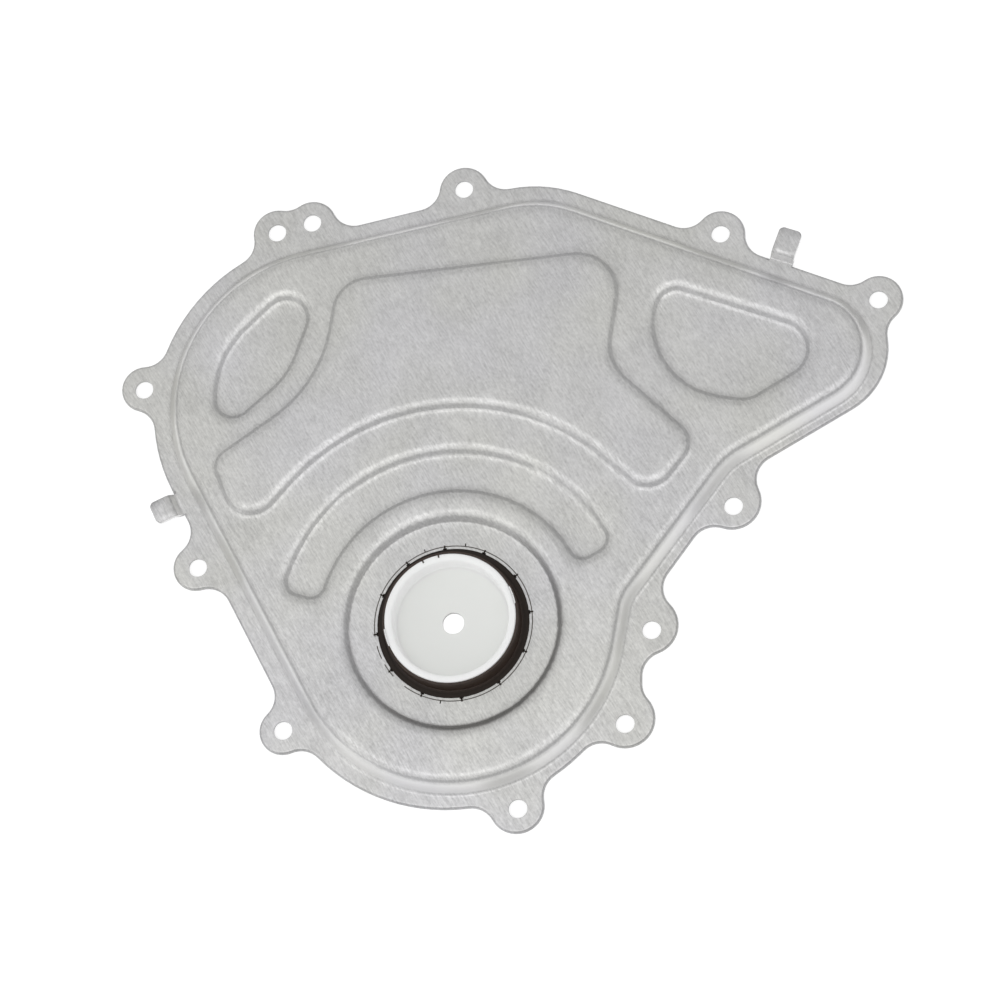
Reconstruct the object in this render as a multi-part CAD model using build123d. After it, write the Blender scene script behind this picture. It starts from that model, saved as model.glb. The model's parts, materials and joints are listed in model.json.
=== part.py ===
"""Front crankshaft flange: a pressed sheet cover with its moulded shaft seal and assembly sleeve.

The origin is on the crankshaft axis, in the plane of the sealing face that bolts to the
engine block. +Z points away from the engine, +X to the right and +Y up, as the cover is
seen from outside. All sizes are in millimetres.

An outline is a closed run of tangent lines and arcs, like a belt round pulleys. Each pulley
is (x, y, radius): a positive radius bulges outwards, and a negative one is a waist, where
the belt passes on the other side of its pulley.
"""

import math
import os

from build123d import *

# Sheet, and the rounding that the blanking die leaves on its upper edge
SHEET = 1.5
EDGE_ROUND = 1.1

# Heights of the pressing, each from the face that it rises or sinks from
PAN_RISE = 6.5
CROWN_RISE = 2.1
RECESS_DEPTH = 2.1
LAND_DEPTH = 2.5
TAB_RISE = 2.5

# Slope of each kind of wall, in degrees from the level, and the radii of the bends at its top
# and at its foot, both on the upper face of the sheet
PAN_SLOPE = 61.0
PAN_TOP_BEND = 5.0
PAN_FOOT_BEND = 2.0
BEAD_SLOPE = 37.0
BEAD_TOP_BEND = 5.5
BEAD_FOOT_BEND = 3.0
LAND_SLOPE = 45.0
LAND_TOP_BEND = 5.5
LAND_FOOT_BEND = 1.5
TAB_SLOPE = 50.0
TAB_TOP_BEND = 3.0
TAB_FOOT_BEND = 1.5

# Two ends nearer to each other than this meet already, and need no line between them
MEETING = 1e-4

# Edge of the flange, and the pan, drawn halfway down its wall
FLANGE_EDGE = [
    (133.0, 103.5, 27.5),
    (25.5, 123.0, 49.0),
    (-50.0, 87.5, 67.5),
    (-1.5, 0.0, 69.0),
    (58.6, -22.0, 11.0),
    (77.5, 2.0, -8.5),
    (116.0, 43.0, -16.0),
]
PAN = [
    (131.0, 102.0, 22.1),
    (26.5, 120.0, 44.1),
    (-49.0, 87.5, 60.6),
    (0.0, 0.0, 62.1),
    (78.0, 2.5, -14.4),
    (115.5, 43.5, -20.4),
]

# Beads in the roof, each drawn halfway down its wall
CROWN = [
    (44.0, 125.5, 16.0),
    (-34.5, 121.0, 13.5),
    (-99.0, 121.5, -50.5),
    (-83.5, 61.5, 7.5),
    (-77.0, 53.5, 10.5),
    (0.0, 0.0, -82.7),
    (72.0, 60.0, 10.0),
    (78.0, 66.0, 9.0),
    (76.5, 105.5, -19.0),
]
LENS = [(-66.5, 119.5, 8.5), (-56.5, 91.0, 36.0), (-85.5, 88.5, 7.0), (-93.5, 116.0, 33.0)]
DEE = [(120.0, 102.0, 11.0), (82.0, 119.5, 7.5), (103.0, 113.5, 29.5), (107.0, 93.0, 10.0)]

# Arc bead, and the ring of metal between it and the sunk seal land
ARC_GAP = 11.1
ARC_WIDTH = 15.0
ARC_CORNER_R = 5.5
ARC_START = 31.0
ARC_END = 163.5

# Bolt lugs: hole centre, the pad's offset from it and the pad's radius
BOLT_HOLE_R = 3.5
LUGS = [
    (0.0, 171.5, 0.0, -0.5, 9.5),
    (-58.5, 160.0, 0.0, -0.5, 9.3),
    (-72.0, 156.5, 0.0, 0.0, 9.3),
    (98.0, 150.0, 0.0, 0.0, 9.3),
    (157.0, 122.0, 0.0, 0.3, 9.2),
    (-121.5, 95.0, 0.0, 0.5, 8.8),
    (103.0, 43.5, -0.5, 2.0, 10.8),
    (-98.0, 24.5, -0.5, 0.3, 9.0),
    (73.0, -3.0, -1.5, 2.0, 11.3),
    (63.5, -38.0, 0.0, 2.0, 11.0),
    (-63.5, -38.5, 0.0, 0.0, 9.0),
    (24.5, -69.0, -0.5, 1.0, 10.2),
]
LUG_FILLET_R = 9.0

# Joggled tabs on the edge: root, direction in degrees, length from the root and width
TABS = [(120.7, 137.8, 70.5, 12.8, 8.8), (-105.8, 49.5, 205.5, 10.6, 8.8)]
TAB_CORNER_R = 2.0
TAB_ROOT = 3.0

# Assembly sleeve, of the same radius as the crankshaft that replaces it
SLEEVE_R = 24.4
SLEEVE_WALL = 1.7
SLEEVE_TOP = 14.0
SLEEVE_FOOT = 1.0
SLEEVE_FLOOR_TOP = 5.5
SLEEVE_FLOOR_THICKNESS = 1.8
SLEEVE_FLOOR_FILLET = 2.0
SLEEVE_HOLE_R = 4.0

# Lip and seal body round the sleeve, and the sunk land that carries them
LIP_CLEARANCE = 0.1
LIP_THICKNESS = 0.7
LIP_RISE = 7.8
LIP_GAP = 1.2
SEAL_BODY_WALL = 2.0
SEAL_BODY_SINK = 0.3
SEAL_SKIRT_WIDTH = 4.6
SEAL_SKIRT_THICKNESS = 1.0
SEAL_LAND_WIDTH = 11.0

# Worked out from the sizes above
FLANGE_FACE = SHEET
ROOF_FACE = FLANGE_FACE + PAN_RISE
CROWN_FACE = ROOF_FACE + CROWN_RISE
RECESS_FACE = ROOF_FACE - RECESS_DEPTH
LAND_FACE = ROOF_FACE - LAND_DEPTH
LIP_R = SLEEVE_R + LIP_CLEARANCE
SEAL_BODY_INNER_R = LIP_R + LIP_THICKNESS + LIP_GAP
BORE_R = SEAL_BODY_INNER_R + SEAL_BODY_WALL
SEAL_SKIRT_R = BORE_R + SEAL_SKIRT_WIDTH
SEAL_LAND_R = BORE_R + SEAL_LAND_WIDTH
ARC_INNER_R = SEAL_LAND_R + ARC_GAP
ARC_OUTER_R = ARC_INNER_R + ARC_WIDTH


def belt_arcs(pulleys):
    """Heading at the start of each arc and the signed angle that it turns, in radians."""
    if len(pulleys) == 1:
        return [(0.0, math.tau)]
    headings = []
    for index, (x, y, radius) in enumerate(pulleys):
        next_x, next_y, next_radius = pulleys[(index + 1) % len(pulleys)]
        distance = math.hypot(next_x - x, next_y - y)
        slant = math.asin(max(-1.0, min(1.0, (radius - next_radius) / distance)))
        headings.append(math.atan2(next_y - y, next_x - x) + slant)
    arcs = []
    for index, (_, _, radius) in enumerate(pulleys):
        start = headings[index - 1]
        turn = (headings[index] - start) % math.tau
        arcs.append((start, turn if radius > 0 else turn - math.tau))
    return arcs


def on_pulley(pulley, heading, grow=0.0):
    """Point where a belt with this heading lies on the pulley, moved out by grow."""
    x, y, radius = pulley
    return (x + (radius + grow) * math.sin(heading), y - (radius + grow) * math.cos(heading))


def join(start, end):
    """Line between two ends, unless they meet already."""
    if math.dist(start, end) > MEETING:
        Line(start, end)


def belt_face(pulleys, grow=0.0):
    """Flat face inside the outline, which is moved out by grow."""
    if len(pulleys) == 1:
        x, y, radius = pulleys[0]
        return Pos(x, y) * Circle(radius + grow)
    arcs = belt_arcs(pulleys)
    with BuildSketch() as sketch:
        with BuildLine():
            for index, (start, turn) in enumerate(arcs):
                pulley = pulleys[index]
                points = [on_pulley(pulley, start + turn * part, grow) for part in (0, 0.5, 1)]
                ThreePointArc(*points)
                following = (index + 1) % len(arcs)
                join(points[-1], on_pulley(pulleys[following], arcs[following][0], grow))
        make_face()
    return sketch.sketch


def plate(face, top):
    """Level part of the sheet, with its upper face at top."""
    return extrude(Pos(0, 0, top - SHEET) * face, SHEET)


class Wall:
    """Sloping wall of the pressing with both of its bends.

    Across the wall, zero is halfway along the straight part between the bends. The higher
    level face begins high_reach to one side of that line, and the lower one begins low_reach
    to the other. A wall too low for its slope turns only as far as its bends allow.
    """

    def __init__(self, rise, slope, top_bend, foot_bend):
        self.rise = rise
        self.top_bend = top_bend
        self.foot_bend = foot_bend
        both_bends = top_bend + foot_bend
        furthest = math.acos(max(0.0, 1 - rise / both_bends))
        self.turn = min(math.radians(slope), furthest)
        straight_rise = rise - both_bends * (1 - math.cos(self.turn))
        half_run = straight_rise / math.tan(self.turn) / 2
        self.high_reach = half_run + top_bend * math.sin(self.turn)
        self.low_reach = half_run + foot_bend * math.sin(self.turn)

    def bend(self, centre, radius):
        """Start, middle and end of a bend; a negative radius bends up instead of down."""
        return [
            (centre[0] + radius * math.sin(angle), centre[1] + radius * math.cos(angle))
            for angle in (0.0, self.turn / 2, self.turn)
        ]

    def section(self, side):
        """Section of the sheet: side is 1 where the lower face lies outside, else -1."""
        high = (-self.high_reach, self.rise - self.top_bend)
        low = (self.low_reach, self.foot_bend)
        bends = [
            self.bend(high, self.top_bend),
            self.bend(low, -self.foot_bend)[::-1],
            self.bend(low, -self.foot_bend - SHEET),
            self.bend(high, self.top_bend - SHEET)[::-1],
        ]
        with BuildSketch(Plane.XZ) as sketch:
            with BuildLine():
                for index, points in enumerate(bends):
                    following = bends[(index + 1) % len(bends)]
                    ThreePointArc(*[(side * x, z) for x, z in points])
                    join(*[(side * x, z) for x, z in (points[-1], following[0])])
            make_face()
        return sketch.sketch

    def carry_round(self, pulleys, low_face, side):
        """Solids of the wall along every arc and line of the outline."""
        arcs = belt_arcs(pulleys)
        section = Pos(0, 0, low_face) * self.section(side)
        pieces = []
        for index, (start, turn) in enumerate(arcs):
            x, y, radius = pulleys[index]
            turned = Pos(x, y) * Rot(0, 0, math.degrees(start) - 90) * Pos(radius, 0)
            spin = Axis((x, y, 0), (0, 0, math.copysign(1.0, turn)))
            pieces.append(revolve(turned * section, spin, abs(math.degrees(turn))))
            end = start + turn
            leave = on_pulley(pulleys[index], end)
            following = (index + 1) % len(arcs)
            length = math.dist(leave, on_pulley(pulleys[following], arcs[following][0]))
            if length > MEETING:
                turned = Pos(*leave) * Rot(0, 0, math.degrees(end) - 90)
                heading = (math.cos(end), math.sin(end), 0)
                pieces.append(extrude(turned * section, length, dir=heading))
        return pieces


PAN_WALL = Wall(PAN_RISE, PAN_SLOPE, PAN_TOP_BEND, PAN_FOOT_BEND)
CROWN_WALL = Wall(CROWN_RISE, BEAD_SLOPE, BEAD_TOP_BEND, BEAD_FOOT_BEND)
RECESS_WALL = Wall(RECESS_DEPTH, BEAD_SLOPE, BEAD_TOP_BEND, BEAD_FOOT_BEND)
LAND_WALL = Wall(LAND_DEPTH, LAND_SLOPE, LAND_TOP_BEND, LAND_FOOT_BEND)
TAB_WALL = Wall(TAB_RISE, TAB_SLOPE, TAB_TOP_BEND, TAB_FOOT_BEND)


def polar(radius, angle):
    """Point at this radius from the crankshaft axis and this angle in degrees."""
    return (radius * math.cos(math.radians(angle)), radius * math.sin(math.radians(angle)))


def arc_bead():
    """Outline of the arc bead: two arcs about the crankshaft with rounded corners."""
    far = ARC_OUTER_R - ARC_CORNER_R
    near = ARC_INNER_R + ARC_CORNER_R
    return [
        (0.0, 0.0, ARC_OUTER_R),
        (*polar(far, ARC_END), ARC_CORNER_R),
        (*polar(near, ARC_END), ARC_CORNER_R),
        (0.0, 0.0, -ARC_INNER_R),
        (*polar(near, ARC_START), ARC_CORNER_R),
        (*polar(far, ARC_START), ARC_CORNER_R),
    ]


def flange():
    """The level rim with its lugs and holes, rounded on its upper outer edge."""
    outline = belt_face(FLANGE_EDGE)
    for x, y, offset_x, offset_y, radius in LUGS:
        outline += Pos(x + offset_x, y + offset_y) * Circle(radius)
    filled = offset(outline, LUG_FILLET_R, kind=Kind.ARC)
    blank = plate(offset(filled, -LUG_FILLET_R, kind=Kind.ARC), FLANGE_FACE)
    blank = fillet(blank.edges().group_by(Axis.Z)[-1], EDGE_ROUND)
    inside = belt_face(PAN, PAN_WALL.low_reach)
    for x, y, *_ in LUGS:
        inside += Pos(x, y) * Circle(BOLT_HOLE_R)
    return blank - plate(inside, FLANGE_FACE)


def tab(root_x, root_y, direction, length, width):
    """One tab: it leaves the flange level, steps up and ends flat with rounded corners."""
    section = TAB_WALL.section(-1)
    step_start = TAB_WALL.low_reach
    step_end = TAB_WALL.low_reach + TAB_WALL.high_reach
    root = Pos(-TAB_ROOT / 2, 0) * Rectangle(TAB_ROOT, width)
    step = extrude(Pos(step_start, width / 2, FLANGE_FACE) * section, width, dir=(0, -1, 0))
    tip_length = length - step_end
    tip = Pos(step_end + tip_length / 2, 0) * Rectangle(tip_length, width)
    tip = fillet(tip.vertices().group_by(Axis.X)[-1], TAB_CORNER_R)
    whole = plate(root, FLANGE_FACE) + step + plate(tip, FLANGE_FACE + TAB_RISE)
    return Pos(root_x, root_y) * Rot(0, 0, direction) * whole


def cover_plate():
    """The pressed cover: level plates at each height, joined by the walls between them."""
    recesses = [LENS, DEE, arc_bead()]
    land = [(0.0, 0.0, SEAL_LAND_R)]
    roof = belt_face(PAN, -PAN_WALL.high_reach) - belt_face(land, LAND_WALL.high_reach)
    roof -= belt_face(CROWN, CROWN_WALL.low_reach)
    for outline in recesses:
        roof -= belt_face(outline, RECESS_WALL.high_reach)
    crown = belt_face(CROWN, -CROWN_WALL.high_reach)
    floor = belt_face(land, -LAND_WALL.low_reach) - Circle(BORE_R)
    pieces = [flange(), plate(roof, ROOF_FACE), plate(crown, CROWN_FACE), plate(floor, LAND_FACE)]
    pieces += PAN_WALL.carry_round(PAN, FLANGE_FACE, 1)
    pieces += CROWN_WALL.carry_round(CROWN, ROOF_FACE, 1)
    pieces += LAND_WALL.carry_round(land, LAND_FACE, -1)
    for outline in recesses:
        pieces.append(plate(belt_face(outline, -RECESS_WALL.low_reach), RECESS_FACE))
        pieces += RECESS_WALL.carry_round(outline, RECESS_FACE, -1)
    pieces += [tab(*sizes) for sizes in TABS]
    return pieces[0].fuse(*pieces[1:]).clean()


def seal_body():
    """Rubber body moulded on the edge of the opening, with a skirt under the sheet."""
    under = LAND_FACE - SHEET
    foot = under - SEAL_SKIRT_THICKNESS
    profile = Polyline(
        (BORE_R, LAND_FACE - SEAL_BODY_SINK),
        (BORE_R, under),
        (SEAL_SKIRT_R, under),
        (SEAL_SKIRT_R, foot),
        (SEAL_BODY_INNER_R, foot),
        (SEAL_BODY_INNER_R, LAND_FACE - SEAL_BODY_SINK),
        close=True,
    )
    return revolve(Plane.XZ * make_face(profile), Axis.Z)


def sealing_lip():
    """Thin lip that leaves the body and curls up round the sleeve."""
    middle_z = (LAND_FACE - SHEET - SEAL_SKIRT_THICKNESS + LAND_FACE - SEAL_BODY_SINK) / 2
    top = LAND_FACE + LIP_RISE
    centre_line = FilletPolyline(
        (SEAL_BODY_INNER_R, middle_z),
        (LIP_R + LIP_THICKNESS / 2, middle_z),
        (LIP_R + LIP_THICKNESS / 2, top),
        radius=LIP_THICKNESS,
    )
    return revolve(Plane.XZ * trace(centre_line, LIP_THICKNESS), Axis.Z)


def assembly_sleeve():
    """Plastic cup that holds the lip open until the crankshaft pushes it out."""
    inner = SLEEVE_R - SLEEVE_WALL
    cup = Pos(0, 0, SLEEVE_FOOT) * extrude(Circle(SLEEVE_R), SLEEVE_TOP - SLEEVE_FOOT)
    hollow = extrude(Circle(inner), SLEEVE_TOP - SLEEVE_FLOOR_TOP)
    hollow = fillet(hollow.edges().group_by(Axis.Z)[0], SLEEVE_FLOOR_FILLET)
    cup -= Pos(0, 0, SLEEVE_FLOOR_TOP) * hollow
    under_floor = SLEEVE_FLOOR_TOP - SLEEVE_FLOOR_THICKNESS
    cup -= Pos(0, 0, SLEEVE_FOOT) * extrude(Circle(inner), under_floor - SLEEVE_FOOT)
    return cup - Pos(0, 0, SLEEVE_FOOT) * extrude(Circle(SLEEVE_HOLE_R), SLEEVE_TOP)


def main():
    """Write one file for each piece."""
    os.makedirs("parts", exist_ok=True)
    pieces = {
        "cover_plate": cover_plate(),
        "seal_body": seal_body(),
        "sealing_lip": sealing_lip(),
        "assembly_sleeve": assembly_sleeve(),
    }
    for name, piece in pieces.items():
        export_step(piece, f"parts/{name}.step")
        print(f"{name}: {piece.volume:.0f} mm3")


main()
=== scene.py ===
"""Front crankshaft flange: the finish of the pressed cover, its shaft seal and its sleeve.

The sizes and places come from the frame, which holds the solids. This script smooths the
cover's mesh, adds the rubber marks that the moulding tool leaves round the seal, gives each
piece its surface, and sets up the floor, the lights and the camera of the photograph.

Lengths are in metres and angles in degrees, unless a docstring says otherwise.
"""

from __future__ import annotations

import json
import logging
import math
from dataclasses import dataclass, field
from enum import Enum

import bmesh
import bpy
from mathutils import Matrix, Vector

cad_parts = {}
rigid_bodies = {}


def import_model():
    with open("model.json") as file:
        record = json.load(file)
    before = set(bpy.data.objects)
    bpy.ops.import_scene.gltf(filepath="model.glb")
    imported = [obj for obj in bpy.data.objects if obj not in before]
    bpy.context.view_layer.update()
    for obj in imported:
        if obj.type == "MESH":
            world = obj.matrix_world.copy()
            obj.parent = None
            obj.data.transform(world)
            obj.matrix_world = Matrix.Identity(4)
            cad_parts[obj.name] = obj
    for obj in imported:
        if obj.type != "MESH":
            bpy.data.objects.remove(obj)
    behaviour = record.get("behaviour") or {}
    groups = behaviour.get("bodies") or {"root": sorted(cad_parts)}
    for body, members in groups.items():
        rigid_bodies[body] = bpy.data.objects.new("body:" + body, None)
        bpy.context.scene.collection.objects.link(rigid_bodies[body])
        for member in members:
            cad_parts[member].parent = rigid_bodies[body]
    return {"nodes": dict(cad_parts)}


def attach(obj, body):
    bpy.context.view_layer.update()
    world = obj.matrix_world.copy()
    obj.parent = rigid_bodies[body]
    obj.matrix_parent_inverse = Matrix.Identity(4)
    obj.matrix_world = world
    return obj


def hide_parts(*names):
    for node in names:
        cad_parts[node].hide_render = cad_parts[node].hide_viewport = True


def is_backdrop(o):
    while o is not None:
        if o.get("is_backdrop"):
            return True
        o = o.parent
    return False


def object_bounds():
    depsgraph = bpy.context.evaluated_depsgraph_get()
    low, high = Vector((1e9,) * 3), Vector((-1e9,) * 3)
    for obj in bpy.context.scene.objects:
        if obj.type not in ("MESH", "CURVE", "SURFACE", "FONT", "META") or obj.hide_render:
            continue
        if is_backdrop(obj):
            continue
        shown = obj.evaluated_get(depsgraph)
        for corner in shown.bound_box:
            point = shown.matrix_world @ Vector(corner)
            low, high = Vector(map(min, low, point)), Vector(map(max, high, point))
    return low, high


LOG = logging.getLogger("flange")
MM = 0.001
MERGE_DISTANCE = 0.001 * MM

Pair = tuple[float, float]
Triple = tuple[float, float, float]
Colour = tuple[float, float, float, float]
Socket = bpy.types.NodeSocket

WHITE: Colour = (1.0, 1.0, 1.0, 1.0)


class Slot(Enum):
    """Material slots of the record."""

    SHEET = "sheet_metal"
    RUBBER = "seal_rubber"
    LIP = "lip_compound"
    SLEEVE = "sleeve_plastic"


class Mixed(Enum):
    """What a Mix node mixes: its data type, the numbers of its two inputs and of its result."""

    COLOUR = ("RGBA", 6, 7, 2)
    VECTOR = ("VECTOR", 4, 5, 1)


class NodeGraph:
    """Small helper that adds nodes to one material and links them."""

    def __init__(self, name: str) -> None:
        """Start an empty material.

        Args:
            name: Name of the material.
        """
        self.material = bpy.data.materials.new(name)
        self.material.use_nodes = True
        self.tree = self.material.node_tree
        self.tree.nodes.clear()
        self.output = self.tree.nodes.new("ShaderNodeOutputMaterial")

    def feed(self, node: bpy.types.Node, name: str | int, value: object) -> None:
        """Link a socket to an input, or set the input's own value.

        Args:
            node: Node that takes the value.
            name: Name or number of its input.
            value: A socket, a number or a tuple.
        """
        if isinstance(value, Socket):
            self.tree.links.new(value, node.inputs[name])
        else:
            node.inputs[name].default_value = value

    def add(self, kind: str, **inputs: object) -> bpy.types.Node:
        """Add a node and fill its inputs.

        Args:
            kind: Blender's name for the node type.
            inputs: Values or sockets, by input name with underscores for spaces.

        Returns:
            The new node.
        """
        node = self.tree.nodes.new(kind)
        for name, value in inputs.items():
            self.feed(node, name.replace("_", " "), value)
        return node

    def math(self, operation: str, *values: object) -> Socket:
        """Add a Math node.

        Args:
            operation: Blender's name for the sum.
            values: One to three numbers or sockets.

        Returns:
            The result's socket.
        """
        node = self.tree.nodes.new("ShaderNodeMath")
        node.operation = operation
        for index, value in enumerate(values):
            self.feed(node, index, value)
        return node.outputs[0]

    def spread(self, value: Socket, low: float, high: float, span: Pair) -> Socket:
        """Map a value from one range to another, held at the ends.

        Args:
            value: The socket to map.
            low: Result at the range's start.
            high: Result at the range's end.
            span: Range that the value comes in.

        Returns:
            The result's socket.
        """
        node = self.tree.nodes.new("ShaderNodeMapRange")
        names = ("Value", "From Min", "From Max", "To Min", "To Max")
        for name, number in zip(names, (value, *span, low, high)):
            self.feed(node, name, number)
        return node.outputs[0]

    def band(self, value: Socket, rise: Pair, fall: Pair) -> Socket:
        """One between two ranges of a value, and zero outside them.

        Args:
            value: The socket to map.
            rise: Range in which the result rises to one.
            fall: Range in which it falls to zero again.

        Returns:
            The result's socket.
        """
        return self.math(
            "MULTIPLY", self.spread(value, 0.0, 1.0, rise), self.spread(value, 1.0, 0.0, fall)
        )

    def mix(
        self,
        share: Socket | float,
        first: Socket | Colour,
        second: Socket | Colour,
        kind: Mixed = Mixed.COLOUR,
        way: str = "MIX",
    ) -> Socket:
        """Mix two colours or two vectors.

        Args:
            share: Share of the second one.
            first: The first one.
            second: The second one.
            kind: What they are.
            way: Blender's name for the way that colours are mixed.

        Returns:
            The result's socket.
        """
        data_type, first_input, second_input, result = kind.value
        node = self.tree.nodes.new("ShaderNodeMix")
        node.data_type = data_type
        node.blend_type = way
        for number, value in ((0, share), (first_input, first), (second_input, second)):
            self.feed(node, number, value)
        return node.outputs[result]

    def multiply(self, first: Socket | Colour, second: Socket | Colour) -> Socket:
        """Multiply two colours."""
        return self.mix(1.0, first, second, way="MULTIPLY")

    def place(self, scale: Triple, turn: float = 0.0) -> Socket:
        """Coordinates on the object, turned about Z and then scaled.

        Args:
            scale: Scale along the turned X, Y and Z, per metre.
            turn: Turn about Z.

        Returns:
            The coordinate's socket.
        """
        where = self.add("ShaderNodeTexCoord").outputs["Object"]
        turned = self.add("ShaderNodeMapping", Vector=where, Rotation=(0, 0, math.radians(turn)))
        return self.add("ShaderNodeMapping", Vector=turned.outputs[0], Scale=scale).outputs[0]

    def place_even(self, size: float) -> Socket:
        """Coordinates on the object for a texture of this size."""
        return self.place((1 / size, 1 / size, 1 / size))

    def from_axis(self) -> tuple[Socket, Socket]:
        """Measure a point on the object from the crankshaft's axis and the sealing face.

        Returns:
            Sockets of its distance from the axis and of its height above the face.
        """
        where = self.add("ShaderNodeTexCoord").outputs["Object"]
        parts = self.add("ShaderNodeSeparateXYZ", Vector=where)
        level = self.add("ShaderNodeCombineXYZ", X=parts.outputs[0], Y=parts.outputs[1])
        length = self.tree.nodes.new("ShaderNodeVectorMath")
        length.operation = "LENGTH"
        self.feed(length, 0, level.outputs[0])
        return length.outputs["Value"], parts.outputs[2]

    def upward(self) -> Socket:
        """How far the piece's surface faces up: 1 where it is level, and 0 where it is upright."""
        normal = self.add("ShaderNodeTexCoord").outputs["Normal"]
        return self.add("ShaderNodeSeparateXYZ", Vector=normal).outputs[2]

    def noise(self, where: Socket, grain: Pair) -> Socket:
        """Noise of scale 1 at these coordinates.

        Args:
            where: The coordinate's socket.
            grain: Number of octaves, and strength of the finer ones.

        Returns:
            The noise value's socket.
        """
        detail, rough = grain
        node = self.add(
            "ShaderNodeTexNoise", Vector=where, Scale=1.0, Detail=detail, Roughness=rough
        )
        return node.outputs[0]

    def bump(self, height: Socket, distance: float, below: Socket | None = None) -> Socket:
        """Turn a height into a bumped normal.

        Args:
            height: Socket of a height from 0 to 1.
            distance: Real height at 1.
            below: Normal that this one is laid over, if any.

        Returns:
            The normal's socket.
        """
        node = self.add("ShaderNodeBump", Height=height, Distance=distance, Strength=1.0)
        if below is not None:
            self.feed(node, "Normal", below)
        return node.outputs[0]

    def blend_bends(self, radius: Socket, share: float, samples: int = 8) -> Socket:
        """Mix the surface's normal with its average round a point, so that bends run out softly.

        Args:
            radius: Socket of how far the average reaches.
            share: Share of the average.
            samples: Number of looks round each point.

        Returns:
            The normal's socket.
        """
        average = self.add("ShaderNodeBevel", Radius=radius)
        average.samples = samples
        own = self.add("ShaderNodeNewGeometry").outputs["Normal"]
        return self.mix(share, own, average.outputs[0], Mixed.VECTOR)

    def finish(self, shader: Socket) -> bpy.types.Material:
        """Link the shader to the output and hand over the material."""
        self.tree.links.new(shader, self.output.inputs["Surface"])
        return self.material


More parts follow.
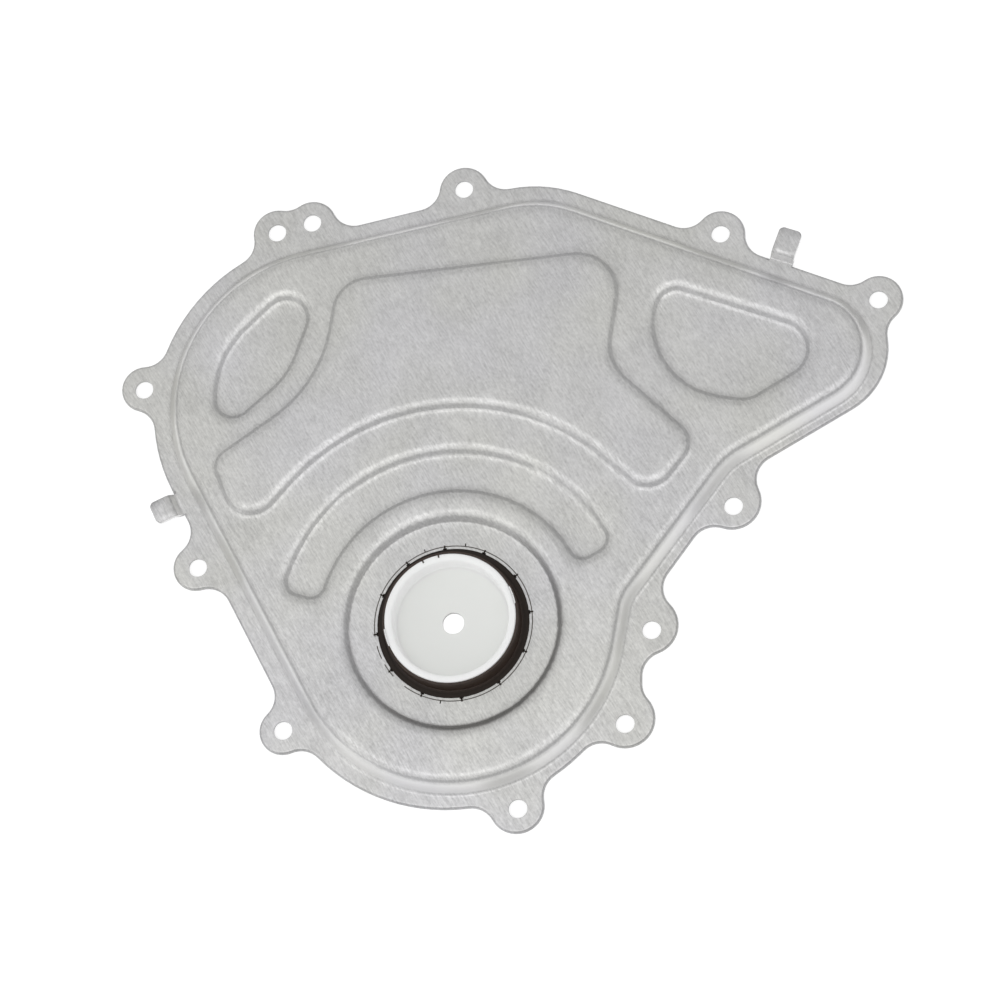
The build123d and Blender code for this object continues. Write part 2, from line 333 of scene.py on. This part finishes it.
@dataclass(frozen=True)
class SheetFinish:
    """Satin sheet metal with short rolled strokes, a fine tooth and soft clouds.

    A grain is a number of octaves and the strength of the finer ones. The mark shares are those
    of strokes, tooth and clouds, and the spans after them say which part of the marks or patches
    runs from one colour, tint or roughness to the other. The strokes' turn is from X. A slope is
    told by how far the surface faces up, from 0 for upright to 1 for level.
    """

    bright: Colour = (0.75, 0.75, 0.75, 1.0)
    dull: Colour = (0.45, 0.45, 0.45, 1.0)
    warm: Colour = (1.0, 0.997, 0.965, 1.0)
    cool: Colour = (0.995, 0.99, 1.0, 1.0)
    roughness: Pair = (0.36, 0.50)

    stroke_turn: float = 58.0
    stroke_width: float = 0.6 * MM
    stroke_length: float = 3.6 * MM
    stroke_height: float = 0.01 * MM
    stroke_grain: Pair = (3.0, 0.65)
    tooth_size: float = 1.1 * MM
    tooth_grain: Pair = (2.0, 0.6)
    cloud_size: float = 16.0 * MM
    cloud_grain: Pair = (4.0, 0.6)
    patch_size: float = 50.0 * MM
    patch_grain: Pair = (2.0, 0.5)
    mark_shares: tuple[float, float, float] = (0.52, 0.26, 0.22)
    colour_span: Pair = (0.32, 0.68)
    tint_span: Pair = (0.38, 0.62)
    roughness_span: Pair = (0.35, 0.65)

    # Painted sheen: the sloped walls above the flange are coloured lighter to stand in for the
    # bright reflections they catch.
    painted_wall_sheen: Colour = (0.77, 0.77, 0.77, 1.0)
    sheen_slope: Pair = (0.50, 0.85)
    sheen_foot: Pair = (1.5 * MM, 1.7 * MM)
    # Painted shade: a darker colour along the slight slopes where bends begin, weaker near the
    # flange.
    painted_crease_shade: Colour = (0.76, 0.76, 0.765, 1.0)
    crease_shade_rise: Pair = (0.70, 0.78)
    crease_shade_fall: Pair = (0.84, 0.90)
    crease_shade_foot: Pair = (1.5 * MM, 4.5 * MM)
    crease_shade_least: float = 0.25
    # Painted shade: the rounded cut edge of the flange is coloured darker to stand in for a dim
    # reflection there.
    painted_edge_shade: Colour = (0.72, 0.72, 0.73, 1.0)
    edge_shade_span: Pair = (1.30 * MM, 1.49 * MM)

    bend_blend: float = 4.2 * MM
    blend_share: float = 0.45
    blend_foot: Pair = (1.53 * MM, 2.6 * MM)
    seal_clear: Pair = (31.0 * MM, 34.0 * MM)

    def marks(self, graph: NodeGraph) -> tuple[Socket, Socket]:
        """Draw what the rolls leave on the sheet.

        Args:
            graph: Graph of the material.

        Returns:
            Sockets of the strokes alone, and of strokes, tooth and clouds together.
        """
        along, across = 1 / self.stroke_length, 1 / self.stroke_width
        place = graph.place((along, across, across), self.stroke_turn)
        strokes = graph.noise(place, self.stroke_grain)
        tooth = graph.noise(graph.place_even(self.tooth_size), self.tooth_grain)
        clouds = graph.noise(graph.place_even(self.cloud_size), self.cloud_grain)
        parts = zip((strokes, tooth, clouds), self.mark_shares)
        weighted = [graph.math("MULTIPLY", value, share) for value, share in parts]
        together = graph.math("ADD", graph.math("ADD", weighted[0], weighted[1]), weighted[2])
        return strokes, together

    def colour(self, graph: NodeGraph, marks: Socket, height: Socket) -> Socket:
        """Colour the sheet, with a painted sheen on its walls and painted shade where bends begin
        and on its cut edge.

        Args:
            graph: Graph of the material.
            marks: Socket of all the marks together.
            height: Socket of the height above the sealing face.

        Returns:
            The colour's socket.
        """
        colour = graph.mix(
            graph.spread(marks, 0.0, 1.0, self.colour_span), self.dull, self.bright
        )
        patches = graph.noise(graph.place_even(self.patch_size), self.patch_grain)
        tint = graph.mix(graph.spread(patches, 0.0, 1.0, self.tint_span), self.cool, self.warm)
        upward = graph.upward()
        # Painted sheen on the walls: its share follows the slope, from the flange upwards.
        sheen_share = graph.math(
            "MULTIPLY",
            graph.spread(upward, 1.0, 0.0, self.sheen_slope),
            graph.spread(height, 0.0, 1.0, self.sheen_foot),
        )
        # Painted shade along the starts of bends: its share follows the slope and is weaker near
        # the flange.
        crease_shade_share = graph.math(
            "MULTIPLY",
            graph.band(upward, self.crease_shade_rise, self.crease_shade_fall),
            graph.spread(height, self.crease_shade_least, 1.0, self.crease_shade_foot),
        )
        # Painted shade on the rounded cut edge, below the flange's top face.
        edge = graph.spread(height, 1.0, 0.0, self.edge_shade_span)
        colour = graph.mix(sheen_share, colour, self.painted_wall_sheen)
        colour = graph.multiply(colour, graph.mix(crease_shade_share, WHITE, self.painted_crease_shade))
        colour = graph.multiply(colour, graph.mix(edge, WHITE, self.painted_edge_shade))
        return graph.multiply(colour, tint)

    def material(self) -> bpy.types.Material:
        """Build the material.

        Returns:
            The sheet's material.
        """
        graph = NodeGraph("satin_sheet")
        strokes, marks = self.marks(graph)
        reach, height = graph.from_axis()
        blend = graph.math(
            "MULTIPLY",
            graph.spread(height, 0.0, self.bend_blend, self.blend_foot),
            graph.spread(reach, 0.0, 1.0, self.seal_clear),
        )
        bends = graph.blend_bends(blend, self.blend_share)
        smooth, rough = self.roughness
        shader = graph.add(
            "ShaderNodeBsdfPrincipled",
            Base_Color=self.colour(graph, marks, height),
            Metallic=1.0,
            Roughness=graph.spread(marks, rough, smooth, self.roughness_span),
            Normal=graph.bump(strokes, self.stroke_height, bends),
        )
        return graph.finish(shader.outputs[0])


@dataclass(frozen=True)
class MouldedFinish:
    """Plain moulded rubber with a faint texture of its own.

    The texture's span says which part of it runs from the colour to the tint, and from the
    first roughness to the second. Its grain is a number of octaves and the strength of the
    finer ones.
    """

    name: str
    colour: Colour
    tint: Colour
    roughness: Pair
    texture_size: float
    texture_height: float
    shine: float
    texture_grain: Pair = (3.0, 0.55)
    texture_span: Pair = (0.3, 0.7)

    def material(self) -> bpy.types.Material:
        """Build the material.

        Returns:
            The material of this rubber.
        """
        graph = NodeGraph(self.name)
        texture = graph.noise(graph.place_even(self.texture_size), self.texture_grain)
        share = graph.spread(texture, 0.0, 1.0, self.texture_span)
        shader = graph.add(
            "ShaderNodeBsdfPrincipled",
            Base_Color=graph.mix(share, self.colour, self.tint),
            Roughness=graph.spread(texture, *self.roughness, self.texture_span),
            Specular_IOR_Level=self.shine,
            Normal=graph.bump(texture, self.texture_height),
        )
        return graph.finish(shader.outputs[0])


RUBBER = MouldedFinish(
    name="seal_rubber",
    colour=(0.018, 0.012, 0.009, 1.0),
    tint=(0.026, 0.018, 0.013, 1.0),
    roughness=(0.50, 0.64),
    texture_size=1.2 * MM,
    texture_height=0.008 * MM,
    shine=0.25,
)
LIP_COMPOUND = MouldedFinish(
    name="lip_compound",
    colour=(0.034, 0.022, 0.017, 1.0),
    tint=(0.050, 0.034, 0.026, 1.0),
    roughness=(0.36, 0.50),
    texture_size=1.5 * MM,
    texture_height=0.006 * MM,
    shine=0.3,
)
FLASH_RUBBER = MouldedFinish(
    name="flash_rubber",
    colour=(0.075, 0.068, 0.060, 1.0),
    tint=(0.110, 0.100, 0.090, 1.0),
    roughness=(0.55, 0.70),
    texture_size=1.0 * MM,
    texture_height=0.004 * MM,
    shine=0.25,
)


@dataclass(frozen=True)
class SleeveFinish:
    """White moulded plastic: the thin wall lets light through and is also painted lighter, as
    painted light, and the floor is a shade darker.

    The crease is a painted shade: a darker ring where the floor meets the wall. It rises and falls
    again over two spans of the distance from the axis.
    """

    floor: Colour = (0.80, 0.81, 0.79, 1.0)
    # Painted light: the wall is coloured lighter than the rim to stand in for light where the wall
    # is shaded.
    wall: Colour = (0.98, 0.98, 0.98, 1.0)
    wall_from: Pair = (20.9 * MM, 21.7 * MM)
    rim: Colour = (0.89, 0.895, 0.89, 1.0)
    rim_from: Pair = (12.0 * MM, 13.8 * MM)
    # Painted shade: a darker ring where the floor meets the wall.
    painted_crease_shade: Colour = (0.79, 0.79, 0.785, 1.0)
    crease_shade_rise: Pair = (20.0 * MM, 20.9 * MM)
    crease_shade_fall: Pair = (20.9 * MM, 21.5 * MM)
    roughness: float = 0.45
    scatter: float = 0.6
    scatter_depth: float = 1.2 * MM
    scatter_colours: Triple = (1.0, 1.0, 1.0)
    texture_size: float = 4.0 * MM
    texture_height: float = 0.01 * MM
    texture_grain: Pair = (3.0, 0.55)

    def material(self) -> bpy.types.Material:
        """Build the material.

        Returns:
            The sleeve's plastic.
        """
        graph = NodeGraph("sleeve_plastic")
        reach, height = graph.from_axis()
        # The wall's painted light fades into the rim's colour near the top.
        wall = graph.mix(graph.spread(height, 0.0, 1.0, self.rim_from), self.wall, self.rim)
        colour = graph.mix(graph.spread(reach, 0.0, 1.0, self.wall_from), self.floor, wall)
        # Painted shade in the ring where the floor meets the wall.
        ring = graph.band(reach, self.crease_shade_rise, self.crease_shade_fall)
        texture = graph.noise(graph.place_even(self.texture_size), self.texture_grain)
        shader = graph.add(
            "ShaderNodeBsdfPrincipled",
            Base_Color=graph.mix(ring, colour, self.painted_crease_shade),
            Roughness=self.roughness,
            Normal=graph.bump(texture, self.texture_height),
            Subsurface_Weight=self.scatter,
            Subsurface_Radius=self.scatter_colours,
            Subsurface_Scale=self.scatter_depth,
        )
        return graph.finish(shader.outputs[0])


def paint(piece: bpy.types.Object, material: bpy.types.Material) -> None:
    """Give a piece one material."""
    piece.data.materials.clear()
    piece.data.materials.append(material)


def add_object(name: str, work: bmesh.types.BMesh) -> bpy.types.Object:
    """Turn a working mesh into an object of the scene.

    Args:
        name: Name of the object.
        work: The working mesh, which is freed.

    Returns:
        The object.
    """
    mesh = bpy.data.meshes.new(name)
    work.to_mesh(mesh)
    work.free()
    thing = bpy.data.objects.new(name, mesh)
    bpy.context.scene.collection.objects.link(thing)
    return thing


def new_piece(name: str, work: bmesh.types.BMesh) -> bpy.types.Object:
    """Turn a finished working mesh into an object with its faces outwards."""
    bmesh.ops.recalc_face_normals(work, faces=work.faces)
    return add_object(name, work)


def merged_copy(node: bpy.types.Object, name: str) -> bpy.types.Object:
    """Copy a CAD node with its loose triangles joined.

    Args:
        node: The CAD node.
        name: Name of the copy.

    Returns:
        The copy.
    """
    work = bmesh.new()
    work.from_mesh(node.data)
    bmesh.ops.remove_doubles(work, verts=work.verts, dist=MERGE_DISTANCE)
    return add_object(name, work)


def ring_strip(
    work: bmesh.types.BMesh, angles: Pair, radii: Pair, heights: Pair, step: float = 1.5
) -> None:
    """Add a strip of rectangular section that follows a circle round the crankshaft's axis.

    Args:
        work: Mesh that takes the strip.
        angles: Where it starts and ends, from X.
        radii: Inner and outer radius.
        heights: Lower and upper height.
        step: Largest angle of one facet.
    """
    turn = Matrix.Rotation(math.radians(angles[0]), 4, "Z")
    (inner, outer), (low, high) = radii, heights
    corner_places = [(inner, low), (outer, low), (outer, high), (inner, high)]
    face = work.faces.new([work.verts.new(turn @ Vector((r, 0, z))) for r, z in corner_places])
    bmesh.ops.spin(
        work,
        geom=[face, *face.edges, *face.verts],
        cent=(0, 0, 0),
        axis=(0, 0, 1),
        angle=math.radians(angles[1] - angles[0]),
        steps=max(1, math.ceil((angles[1] - angles[0]) / step)),
        use_duplicate=False,
    )


def tick(
    work: bmesh.types.BMesh, angle: float, width: float, radii: Pair, heights: Pair
) -> None:
    """Add a short radial mark: its angle is that of its middle, from X."""
    half = math.degrees(width / sum(radii))
    ring_strip(work, (angle - half, angle + half), radii, heights)


@dataclass
class Cover:
    """The pressed cover: its mesh joined and shaded smooth, with sharp cut edges."""

    sharp_angle: float = 35.0
    finish: SheetFinish = field(default_factory=SheetFinish)

    def build(self, node: bpy.types.Object) -> bpy.types.Object:
        """Build the smooth cover in place of the CAD node.

        Args:
            node: CAD node of the cover.

        Returns:
            The dressed cover.
        """
        piece = merged_copy(node, "cover_pressing")
        piece.data.shade_smooth()
        piece.data.set_sharp_from_angle(angle=math.radians(self.sharp_angle))
        weights = piece.modifiers.new("weights", "WEIGHTED_NORMAL")
        weights.mode = "FACE_AREA"
        weights.keep_sharp = True
        paint(piece, self.finish.material())
        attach(piece, "root")
        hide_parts("cover_plate")
        return piece


@dataclass
class SealMarks:
    """Thin rubber marks that the moulding tool leaves on the land round the seal.

    They are a line of flash, which is broken at its gaps, ticks across it with broad feet, and
    a few narrower ticks outside it.
    """

    ring_r: float = 29.45 * MM
    ring_width: float = 0.36 * MM
    ring_gaps: tuple[Pair, ...] = ((189.0, 196.0), (206.0, 211.0), (222.0, 233.0))
    line_height: float = 0.05 * MM
    first_tick: float = 7.4
    tick_count: int = 12
    tick_radii: Pair = (28.35 * MM, 29.95 * MM)
    tick_width: float = 0.62 * MM
    tick_height: float = 0.08 * MM
    foot_radii: Pair = (28.35 * MM, 28.85 * MM)
    foot_width: float = 1.5 * MM
    outer_ticks: tuple[float, ...] = (82.3, 112.0, 262.0)
    outer_radii: Pair = (29.4 * MM, 30.6 * MM)
    outer_width: float = 0.4 * MM

    def dress(
        self, name: str, work: bmesh.types.BMesh, material: bpy.types.Material
    ) -> bpy.types.Object:
        """Finish one piece of the marks.

        Args:
            name: Its name.
            work: Its working mesh.
            material: Its material.

        Returns:
            The piece.
        """
        piece = new_piece(name, work)
        paint(piece, material)
        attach(piece, "root")
        return piece

    def flash_line(self, land: float) -> bpy.types.Object:
        """Build the thin line of flash round the seal.

        Args:
            land: Height of the land that carries it.

        Returns:
            The line.
        """
        work = bmesh.new()
        radii = (self.ring_r - self.ring_width / 2, self.ring_r + self.ring_width / 2)
        heights = (land, land + self.line_height)
        starts = [gap[1] for gap in self.ring_gaps]
        ends = [gap[0] for gap in self.ring_gaps[1:]] + [self.ring_gaps[0][0] + 360.0]
        for angles in zip(starts, ends):
            ring_strip(work, angles, radii, heights)
        return self.dress("seal_flash_line", work, FLASH_RUBBER.material())

    def ticks(self, land: float, material: bpy.types.Material) -> bpy.types.Object:
        """Build the short marks across the line.

        Args:
            land: Height of the land that carries them.
            material: The seal's rubber.

        Returns:
            The ticks.
        """
        work = bmesh.new()
        heights = (land, land + self.tick_height)
        for index in range(self.tick_count):
            angle = self.first_tick + index * 360.0 / self.tick_count
            tick(work, angle, self.tick_width, self.tick_radii, heights)
            tick(work, angle, self.foot_width, self.foot_radii, heights)
        for angle in self.outer_ticks:
            tick(work, angle, self.outer_width, self.outer_radii, heights)
        return self.dress("seal_mould_marks", work, material)


@dataclass
class LipMarks:
    """Two small dark nibs where the lip folds over the sleeve's rim."""

    angles: tuple[float, ...] = (101.3, 115.9)
    radii: Pair = (23.2 * MM, 24.6 * MM)
    width: float = 0.55 * MM
    heights: Pair = (13.1 * MM, 14.0 * MM)

    def build(self, material: bpy.types.Material) -> bpy.types.Object:
        """Build both nibs as one piece.

        Args:
            material: The lip's compound.

        Returns:
            The nibs.
        """
        work = bmesh.new()
        for angle in self.angles:
            tick(work, angle, self.width, self.radii, self.heights)
        piece = new_piece("lip_nibs", work)
        paint(piece, material)
        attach(piece, "root")
        return piece


@dataclass
class Seal:
    """The seal's rubber body, its lip and the marks of both.

    The land is the height of the sunk ring of the cover that carries the marks.
    """

    land: float = 5.5 * MM
    marks: SealMarks = field(default_factory=SealMarks)
    nibs: LipMarks = field(default_factory=LipMarks)

    def build(self, body: bpy.types.Object, lip: bpy.types.Object) -> list[bpy.types.Object]:
        """Dress the CAD nodes and add the marks.

        Args:
            body: CAD node of the seal's body.
            lip: CAD node of the lip.

        Returns:
            The seal's pieces.
        """
        rubber, compound = RUBBER.material(), LIP_COMPOUND.material()
        paint(body, rubber)
        paint(lip, compound)
        marks = [self.marks.flash_line(self.land), self.marks.ticks(self.land, rubber)]
        return [body, lip, *marks, self.nibs.build(compound)]


@dataclass
class Sleeve:
    """The white assembly sleeve, a cup with a rounded rim and two shallow ears.

    The skirt's radius is that of the hollow under the floor. The rounds are the radii of the
    corner between floor and wall, of the rim's outer edge and of its inner edge. The ears reach
    past the outer radius, and their angles are from X.
    """

    outer_r: float = 24.4 * MM
    inner_r: float = 21.7 * MM
    skirt_r: float = 22.7 * MM
    hole_r: float = 4.0 * MM
    foot: float = 1.0 * MM
    under_floor: float = 3.7 * MM
    floor: float = 5.5 * MM
    top: float = 13.93 * MM
    floor_round: float = 1.0 * MM
    rim_round: float = 0.75 * MM
    mouth_round: float = 1.2 * MM
    round_steps: int = 8
    turn_steps: int = 240
    sharp_angle: float = 40.0
    ears: tuple[Pair, ...] = ((12.0, 27.4), (189.0, 204.4))
    ear_root: float = 0.3 * MM
    ear_reach: float = 0.35 * MM
    ear_heights: Pair = (13.35 * MM, 13.75 * MM)
    finish: SleeveFinish = field(default_factory=SleeveFinish)

    def rounding(self, centre: Pair, radius: float, start: float) -> list[Pair]:
        """Points of a quarter circle in the section.

        Args:
            centre: Its centre, as radius and height.
            radius: Its radius.
            start: Angle of its first point, from which it turns anticlockwise.

        Returns:
            The points, as radius and height.
        """
        x, z = centre
        steps = range(self.round_steps + 1)
        angles = [math.radians(start + 90.0 * step / self.round_steps) for step in steps]
        return [(x + radius * math.cos(angle), z + radius * math.sin(angle)) for angle in angles]

    def section(self) -> list[Pair]:
        """Closed section of the cup.

        Returns:
            Its points, as radius and height.
        """
        rim, mouth, bowl = self.rim_round, self.mouth_round, self.floor_round
        under = [
            (self.hole_r, self.under_floor),
            (self.skirt_r, self.under_floor),
            (self.skirt_r, self.foot),
            (self.outer_r, self.foot),
        ]
        outside = self.rounding((self.outer_r - rim, self.top - rim), rim, 0.0)
        inside = self.rounding((self.inner_r + mouth, self.top - mouth), mouth, 90.0)
        corner = self.rounding((self.inner_r - bowl, self.floor + bowl), bowl, -90.0)[::-1]
        return under + outside + inside + corner + [(self.hole_r, self.floor)]

    def build(self) -> bpy.types.Object:
        """Build the sleeve in place of the CAD node.

        Returns:
            The dressed sleeve.
        """
        work = bmesh.new()
        points = [work.verts.new((r, 0, z)) for r, z in self.section()]
        edges = [work.edges.new((points[i - 1], points[i])) for i in range(len(points))]
        bmesh.ops.spin(
            work,
            geom=[*points, *edges],
            cent=(0, 0, 0),
            axis=(0, 0, 1),
            angle=math.tau,
            steps=self.turn_steps,
            use_merge=True,
            use_duplicate=False,
        )
        ear_radii = (self.outer_r - self.ear_root, self.outer_r + self.ear_reach)
        for ear in self.ears:
            ring_strip(work, ear, ear_radii, self.ear_heights)
        piece = new_piece("sleeve_cup", work)
        piece.data.shade_smooth()
        piece.data.set_sharp_from_angle(angle=math.radians(self.sharp_angle))
        paint(piece, self.finish.material())
        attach(piece, "root")
        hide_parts("assembly_sleeve")
        return piece


@dataclass
class Studio:
    """White floor, two soft lamps and a white surround that is dimmer on its far side.

    The floor glows a little for the camera and for reflections, and more under the sleeve's
    hole as painted light that takes away the shadow seen through it, over the bore's span of the
    distance from the axis. The surround dims towards a direction, over a span of the cosine
    between the two. Powers are in watts.
    """

    floor_size: float = 8.0
    floor_colour: Colour = (0.58, 0.58, 0.58, 1.0)
    floor_glow: float = 0.60
    # Painted light: the floor glows more under the sleeve's hole, so that no shadow shows through
    # it.
    painted_bore_light: float = 0.95
    bore_light_span: Pair = (7.0 * MM, 11.0 * MM)
    surround: float = 0.81
    dim_surround: float = 0.70
    dim_side: Triple = (0.35, 0.78, 0.52)
    dim_span: Pair = (0.45, 0.97)
    overhead_size: Pair = (2.6, 0.9)
    overhead_power: float = 6.7
    overhead_place: Triple = (0.0, -0.25, 2.0)
    side_size: Pair = (1.0, 0.8)
    side_power: float = 1.9
    side_place: Triple = (-1.25, -1.0, 0.75)

    def floor_material(self) -> bpy.types.Material:
        """Build the floor's material, which the camera and reflections see as white.

        Returns:
            The floor's material.
        """
        graph = NodeGraph("floor")
        matt = graph.add("ShaderNodeBsdfDiffuse", Color=self.floor_colour)
        reach, _ = graph.from_axis()
        # Even glow, plus the painted light under the sleeve's hole.
        strength = graph.spread(reach, self.painted_bore_light, self.floor_glow, self.bore_light_span)
        glow = graph.add("ShaderNodeEmission", Color=WHITE, Strength=strength)
        both = graph.add("ShaderNodeAddShader")
        graph.feed(both, 0, matt.outputs[0])
        graph.feed(both, 1, glow.outputs[0])
        path = graph.add("ShaderNodeLightPath")
        seen = graph.math("MAXIMUM", path.outputs["Is Camera Ray"], path.outputs["Is Glossy Ray"])
        seen = graph.math("MAXIMUM", seen, path.outputs["Is Transmission Ray"])
        choice = graph.add("ShaderNodeMixShader")
        for number, value in enumerate((seen, matt.outputs[0], both.outputs[0])):
            graph.feed(choice, number, value)
        return graph.finish(choice.outputs[0])

    def floor(self) -> None:
        """Lay the floor."""
        work = bmesh.new()
        bmesh.ops.create_grid(work, x_segments=1, y_segments=1, size=self.floor_size / 2)
        floor = add_object("floor", work)
        paint(floor, self.floor_material())
        floor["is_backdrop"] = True

    def white_surround(self) -> None:
        """Set the world's light, a little dimmer on the far side."""
        world = bpy.data.worlds.new("surround")
        bpy.context.scene.world = world
        world.use_nodes = True
        nodes, links = world.node_tree.nodes, world.node_tree.links
        lean = nodes.new("ShaderNodeVectorMath")
        lean.operation = "DOT_PRODUCT"
        lean.inputs[1].default_value = self.dim_side
        links.new(nodes.new("ShaderNodeTexCoord").outputs["Generated"], lean.inputs[0])
        level = nodes.new("ShaderNodeMapRange")
        level.interpolation_type = "SMOOTHSTEP"
        ends = (*self.dim_span, self.surround, self.dim_surround)
        for name, number in zip(("From Min", "From Max", "To Min", "To Max"), ends):
            level.inputs[name].default_value = number
        links.new(lean.outputs["Value"], level.inputs["Value"])
        background = nodes["Background"]
        background.inputs["Color"].default_value = WHITE
        links.new(level.outputs[0], background.inputs["Strength"])

    @staticmethod
    def lamp(name: str, size: Pair, power: float, place: Triple) -> None:
        """Hang a soft rectangular lamp that faces the object.

        Args:
            name: Name of the lamp.
            size: Its width and length.
            power: Its power.
            place: Where it hangs.
        """
        data = bpy.data.lights.new(name, "AREA")
        data.shape = "RECTANGLE"
        data.size, data.size_y = size
        data.energy = power
        lamp = bpy.data.objects.new(name, data)
        lamp.location = place
        lamp.rotation_euler = (-lamp.location).to_track_quat("-Z", "Y").to_euler()
        bpy.context.scene.collection.objects.link(lamp)

    def build(self) -> None:
        """Lay the floor, and set the surround and the two lamps."""
        self.floor()
        self.white_surround()
        self.lamp("overhead", self.overhead_size, self.overhead_power, self.overhead_place)
        self.lamp("side", self.side_size, self.side_power, self.side_place)


@dataclass
class PhotoCamera:
    """The photograph's camera, placed by where it sees the crankshaft's axis.

    The aim is the middle of the seal's land. The camera leans from the axis by tilt, towards
    the azimuth, and the frame is turned by roll. The aim's pixel is in the photograph's frame
    of 1000 by 1000, and the sensor and the lens are in millimetres.
    """

    aim: Triple = (0.0, 0.0, 5.5 * MM)
    aim_pixel: Pair = (453.27, 623.15)
    tilt: float = 17.0
    azimuth: float = 302.5
    roll: float = 32.5
    distance: float = 1.5
    far_end: float = 20.0
    frame: int = 1000
    sensor: float = 36.0
    lens: float = 146.58

    def build(self) -> None:
        """Build the camera and make it the scene's own."""
        tilt, azimuth, roll = (math.radians(v) for v in (self.tilt, self.azimuth, self.roll))
        back = Vector(
            (math.sin(tilt) * math.cos(azimuth), math.sin(tilt) * math.sin(azimuth), math.cos(tilt))
        )
        across = Vector((math.cos(roll), math.sin(roll), 0.0))
        along = back.cross(across)
        right = math.cos(roll) * across - math.sin(roll) * along
        upward = math.sin(roll) * across + math.cos(roll) * along
        level = Matrix((right, upward, back)).transposed()
        focal = self.lens / self.sensor * self.frame
        middle = self.frame / 2
        sight = Vector(
            ((self.aim_pixel[0] - middle) / focal, (middle - self.aim_pixel[1]) / focal, -1.0)
        ).normalized()
        swing = Vector((0, 0, -1)).rotation_difference(sight).to_matrix()
        data = bpy.data.cameras.new("camera")
        data.sensor_width = self.sensor
        data.lens = self.lens
        data.clip_end = self.far_end
        camera = bpy.data.objects.new("camera", data)
        turned = (level @ swing.transposed()).to_4x4()
        camera.matrix_world = Matrix.Translation(Vector(self.aim) + self.distance * back) @ turned
        bpy.context.scene.collection.objects.link(camera)
        bpy.context.scene.camera = camera


def corners() -> list[list[float]]:
    """Lowest and highest corner of the shown object, as plain lists."""
    bpy.context.view_layer.update()
    return [[float(value) for value in corner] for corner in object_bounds()]


def main() -> None:
    """Load the frame, dress the object, and set the stage."""
    logging.basicConfig(level=logging.INFO, format="%(message)s")
    for thing in list(bpy.data.objects):
        bpy.data.objects.remove(thing)
    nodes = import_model()["nodes"]
    frame_box = corners()
    PhotoCamera().build()
    Studio().build()
    pieces = [Cover().build(nodes["cover_plate"])]
    pieces += Seal().build(nodes["seal_body"], nodes["sealing_lip"])
    pieces.append(Sleeve().build())
    for piece in pieces:
        LOG.info("%s: %d faces", piece.name, len(piece.data.polygons))
    bpy.context.scene.view_settings.view_transform = "Standard"
    {"frame": frame_box, "visual": corners()}


if __name__ == "__main__":
    main()
